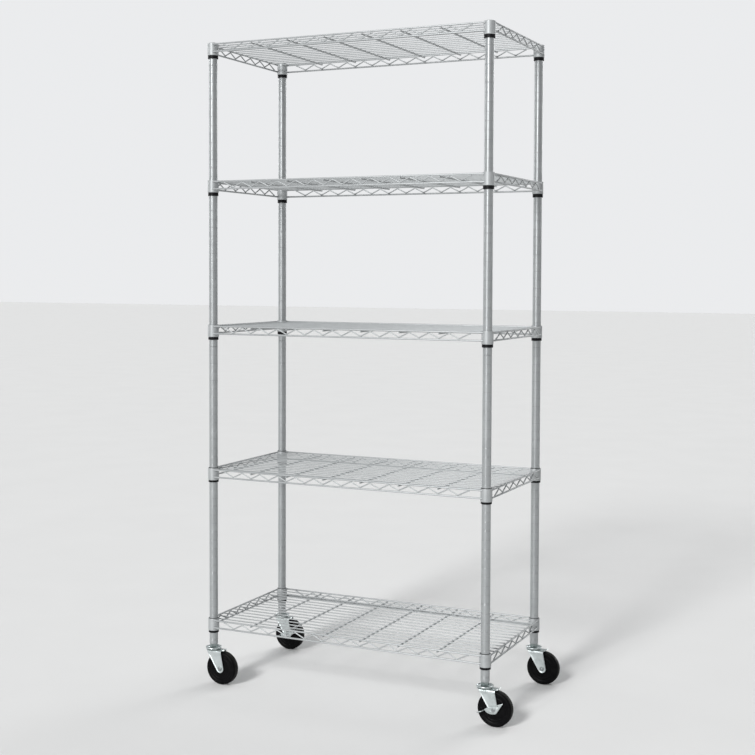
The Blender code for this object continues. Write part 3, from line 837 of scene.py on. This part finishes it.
def fork_sheet():
    """The stamped fork as one bent sheet: dished legs, a rounded nose and an upturned lip."""
    shares = [0, 0.02, 0.045, 0.075, 0.11, 0.17, 0.26, 0.38, 0.5]
    shares += [1 - s for s in reversed(shares[:-1])]
    points = []
    rows = fork_rows()
    for y, z, front, back in rows:
        for share in shares:
            x = front + (back - front) * share
            if z < YOKE_MIDDLE - YOKE_BEND:
                deep = DISH_DEPTH * float(smooth(leg_edge_distance(x, z), 0.6 * MM, 3.2 * MM))
                deep *= float(smooth(YOKE_MIDDLE - YOKE_BEND - z, 0, 10 * MM))
                points.append((x, y - math.copysign(deep, y), z))
            else:
                lift = LIP_CURL * max(0.0, x - LIP_START) ** 2
                points.append((x, y, z + lift))
    return Shape(points, quads(len(rows), len(shares)))


def sheet_modifiers(obj, thickness, edge):
    solid = obj.modifiers.new("thickness", "SOLIDIFY")
    solid.thickness = thickness
    solid.offset = 0
    bevel = obj.modifiers.new("edges", "BEVEL")
    bevel.width = edge
    bevel.segments = 2
    bevel.limit_method = "ANGLE"
    bevel.angle_limit = math.radians(50)


def wheel():
    """The solid wheel about Y: crowned tread, round shoulders, moulded rings and a hub."""
    half = [(4.3, 13.3), (10.6, 13.3), (11.4, 13.1), (12.0, 12.4), (13.2, 11.7), (15.0, 11.4),
            (28.0, 11.2), (30.0, 11.3), (30.6, 11.8), (32.0, 11.8), (32.6, 11.4), (37.5, 11.7),
            (38.1, 12.2), (39.4, 12.3), (40.0, 11.9), (42.0, 12.1), (44.4, 12.6), (46.2, 12.3),
            (47.8, 11.2), (49.0, 9.4), (49.6, 7.2), (49.9, 4.5), (50.0, 1.5)]
    profile = [(r * MM, y * MM) for r, y in half]
    profile += [(r, -y) for r, y in reversed(profile)]
    return lathe(profile, 72).moved(upright())


def axle(front_seat):
    """The axle rivet about Y: a shaft with a rounded, dimpled head at each end."""
    seats = (front_seat, -AXLE_SEAT)
    head = [(4.0, 0.0), (5.1, 0.0), (5.3, 0.3), (5.3, 0.9), (5.0, 1.5), (4.2, 1.9), (3.0, 2.0),
            (2.2, 1.8), (1.8, 1.2), (0.0, 1.1)]
    front = [(r * MM, seats[0] + t * MM) for r, t in reversed(head)]
    back = [(r * MM, seats[1] - t * MM) for r, t in head]
    return lathe(front + back, 32).moved(upright())


def washer(seat, way):
    """A washer between a leg and the head of the axle; way is 1 in front and -1 behind."""
    profile = [(4.2, -0.9), (6.9, -0.9), (7.2, -0.6), (7.2, -0.3), (6.9, 0.0), (4.2, 0.0)]
    ring = lathe([(r * MM, seat + way * t * MM) for r, t in profile], 32)
    return ring.moved(upright())


def lever_outline():
    """The brake lever's blade about its pivot, as (x, z): a crescent with a wing behind it."""
    centre_x, centre_z, radius = -6, 13, 25
    arc = [math.radians(a) for a in range(-48, -147, -7)]
    rim = [(centre_x + radius * math.cos(a), centre_z + radius * math.sin(a)) for a in arc]
    tip = [(27.0, 21.4), (27.5, 21.0), (26.9, 19.6)]
    shoulders = [(-18, 5), (-8, 9), (9.0, 9.5), (9.8, 10.6), (10.3, 14.9), (11.6, 16.0)]
    return [(x * MM, z * MM) for x, z in tip + rim + shoulders]


def round_hole(x, z, radius, sides=20):
    """A round outline in the lever's blade."""
    turn = [2 * math.pi * i / sides for i in range(sides)]
    return [(x + radius * math.cos(t), z + radius * math.sin(t)) for t in turn]


def plate(name, outlines, thickness, edge):
    """A flat plate standing in the XZ plane with rounded edges, from closed outlines."""
    curve = bpy.data.curves.new(name, "CURVE")
    curve.dimensions = "2D"
    curve.fill_mode = "BOTH"
    curve.extrude = thickness / 2 - edge
    curve.bevel_depth = edge
    curve.bevel_resolution = 1
    curve.offset = -edge
    for outline in outlines:
        spline = curve.splines.new("POLY")
        spline.points.add(len(outline) - 1)
        for point, (across, up) in zip(spline.points, outline):
            point.co = (across, up, 0, 1)
        spline.use_cyclic_u = True
    holder = bpy.data.objects.new(name, curve)
    bpy.context.scene.collection.objects.link(holder)
    graph = bpy.context.evaluated_depsgraph_get()
    mesh = bpy.data.meshes.new_from_object(holder.evaluated_get(graph))
    points = np.array([v.co for v in mesh.vertices])
    faces = [tuple(p.vertices) for p in mesh.polygons]
    bpy.data.objects.remove(holder)
    bpy.data.meshes.remove(mesh)
    return Shape(points, faces).moved(upright())


def pedal():
    """The foot tab of the lever, bent outward from the arm."""
    arm, tip = np.array((-26, -2)) * MM, np.array((-46, -11)) * MM
    stations = (-0.1, 0.0, 0.15, 0.4, 0.7, 0.9, 1.0)
    widths = (2.2, 5.0, 9.0, 12.0, 12.0, 11.0, 8.0)
    points = []
    for share, width in zip(stations, widths):
        x, z = arm + (tip - arm) * share
        for across in (0.0, 0.25, 0.5, 0.75, 1.0):
            points.append((x, 1.0 * MM - across * width * MM, z))
    return Shape(points, quads(len(stations), 5))


def make_casters():
    fork, one_wheel, one_race, one_lower = fork_sheet(), wheel(), race(), lower_race()
    fixed = stem()
    holes = [round_hole(0, 0, AXLE_RADIUS + GAP), round_hole(12.8 * MM, 11.6 * MM, 1.3 * MM)]
    blade = plate("lever", [lever_outline(), *holes], LEVER_SHEET, 0.4 * MM)
    for corner in CORNERS:
        x, y = AXES[corner]
        up = ((x, y, 0), (0, 0, 1))
        # The stem, the lower race and the washers take the darker zinc, painted shade.
        piece(f"caster_stem_pin_{corner}", joined(fixed).at(x, y, 0), SHADED_ZINC, "rack",
              [f"caster_stem_{corner}"])
        piece(f"caster_race_{corner}", one_race.at(x, y, 0), ZINC, "rack",
              [f"caster_stem_{corner}"], up)
        body = f"fork_{corner}"
        sheet = piece(f"fork_sheet_{corner}", fork.at(x, y, 0), ZINC, body, [body])
        sheet_modifiers(sheet, SHEET, 0.5 * MM)
        piece(f"fork_race_{corner}", joined(one_lower).at(x, y, 0), SHADED_ZINC, body)
        centre = (x + TRAIL, y, WHEEL_RADIUS)
        across = (centre, (0, 1, 0))
        piece(f"wheel_solid_{corner}", one_wheel.at(*centre), RUBBER, f"wheel_{corner}",
              [f"wheel_{corner}"], across)
        front_seat = BRAKED_AXLE_SEAT if corner in BRAKED else AXLE_SEAT
        piece(f"axle_rivet_{corner}", axle(front_seat).at(*centre), STEEL, body,
              [f"axle_{corner}"], across)
        washers = [washer(side * WASHER_SEAT, side) for side in (1, -1)]
        piece(f"axle_washers_{corner}", joined(washers).at(*centre), SHADED_ZINC, body)
        if corner in BRAKED:
            place = (centre[0], y - LEVER_OFFSET, centre[2])
            piece(f"brake_lever_blade_{corner}", blade.at(*place), ZINC, f"brake_{corner}",
                  [f"brake_lever_{corner}"])
            tab = piece(f"brake_lever_pedal_{corner}", pedal().at(*place), ZINC, f"brake_{corner}")
            sheet_modifiers(tab, LEVER_SHEET, 0.45 * MM)


# ---------------------------------------------------------------- floor, light and camera


def floor():
    """A plain pale floor reaching past every view."""
    mesh = bpy.data.meshes.new("floor")
    corners = [(x * FLOOR_HALF, y * FLOOR_HALF, 0) for x, y in ((-1, -1), (1, -1), (1, 1), (-1, 1))]
    mesh.from_pydata(corners, [], [(0, 1, 2, 3)])
    made = Finish("pale_floor", roughness=0.95, specular=0.0)
    cloud = made.noise(3, detail=4)
    dark, light = (0.775, 0.775, 0.77), (0.79, 0.79, 0.785)
    made.colour(made.mix(made.spread(cloud, 0.3, 0.7, 0, 1), dark, light))
    mesh.materials.append(made.material)
    obj = bpy.data.objects.new("floor", mesh)
    bpy.context.scene.collection.objects.link(obj)


def broad_light(name, compass, height, width, strength):
    """Light from far away: degrees left of the front, degrees up, and its angular width."""
    light = bpy.data.lights.new(name, "SUN")
    light.energy = strength
    light.angle = math.radians(width)
    obj = bpy.data.objects.new(name, light)
    bpy.context.scene.collection.objects.link(obj)
    obj.rotation_euler = (math.radians(90 - height), 0, math.radians(-compass))


def lights():
    """A pale backdrop, dimmer light from all round, two high suns and a low one on each side.

    The low ones draw the stripes down the posts.
    """
    world = bpy.data.worlds.new("studio")
    world.use_nodes = True
    tree = world.node_tree
    ambient = tree.nodes["Background"]
    ambient.inputs["Color"].default_value = (0.96, 0.98, 1.0, 1)
    direction = tree.nodes.new("ShaderNodeTexCoord")
    parts = tree.nodes.new("ShaderNodeSeparateXYZ")
    tree.links.new(direction.outputs["Generated"], parts.inputs["Vector"])
    share = tree.nodes.new("ShaderNodeMapRange")
    share.inputs["From Min"].default_value, share.inputs["From Max"].default_value = -1, 1
    share.inputs["To Min"].default_value, share.inputs["To Max"].default_value = AMBIENT
    tree.links.new(parts.outputs["X"], share.inputs["Value"])
    tree.links.new(share.outputs["Result"], ambient.inputs["Strength"])
    backdrop = tree.nodes.new("ShaderNodeBackground")
    backdrop.inputs["Color"].default_value = (0.975, 0.985, 1.0, 1)
    backdrop.inputs["Strength"].default_value = BACKDROP
    seen = tree.nodes.new("ShaderNodeLightPath")
    mixed = tree.nodes.new("ShaderNodeMixShader")
    tree.links.new(seen.outputs["Is Camera Ray"], mixed.inputs["Fac"])
    tree.links.new(ambient.outputs["Background"], mixed.inputs[1])
    tree.links.new(backdrop.outputs["Background"], mixed.inputs[2])
    tree.links.new(mixed.outputs["Shader"], tree.nodes["World Output"].inputs["Surface"])
    bpy.context.scene.world = world
    broad_light("key", 6, 32, 12, 2.4)
    broad_light("back", 190, 50, 25, 0.7)
    broad_light("stripe_front", 6, STRIPE_HEIGHT, 10, 1.0)
    broad_light("stripe_right", -110, STRIPE_HEIGHT, STRIPE_WIDTH, 0.12)
    broad_light("stripe_back", 195, STRIPE_HEIGHT, STRIPE_WIDTH, 0.4)
    broad_light("stripe_left", 100, STRIPE_HEIGHT, STRIPE_WIDTH, 0.3)


def camera():
    """The camera at the photograph's viewing angle, levelled but for a small tilt and roll."""
    yaw, pitch, roll = 25.087, -2.36, 0.215
    place = (1.6819, -3.63495, 1.2439)
    data = bpy.data.cameras.new("camera")
    data.sensor_width = 36
    data.lens = 63.732
    data.shift_y = -0.065
    data.clip_start = 0.05
    data.clip_end = 200
    obj = bpy.data.objects.new("camera", data)
    turn = Matrix.Rotation(math.radians(yaw), 4, "Z")
    turn = turn @ Matrix.Rotation(math.radians(90 + pitch), 4, "X")
    turn = turn @ Matrix.Rotation(math.radians(roll), 4, "Z")
    obj.matrix_world = Matrix.Translation(place) @ turn
    bpy.context.scene.collection.objects.link(obj)
    bpy.context.scene.camera = obj
    bpy.context.scene.view_settings.view_transform = "Standard"


make_shelves()
make_posts()
make_casters()
floor()
lights()
camera()
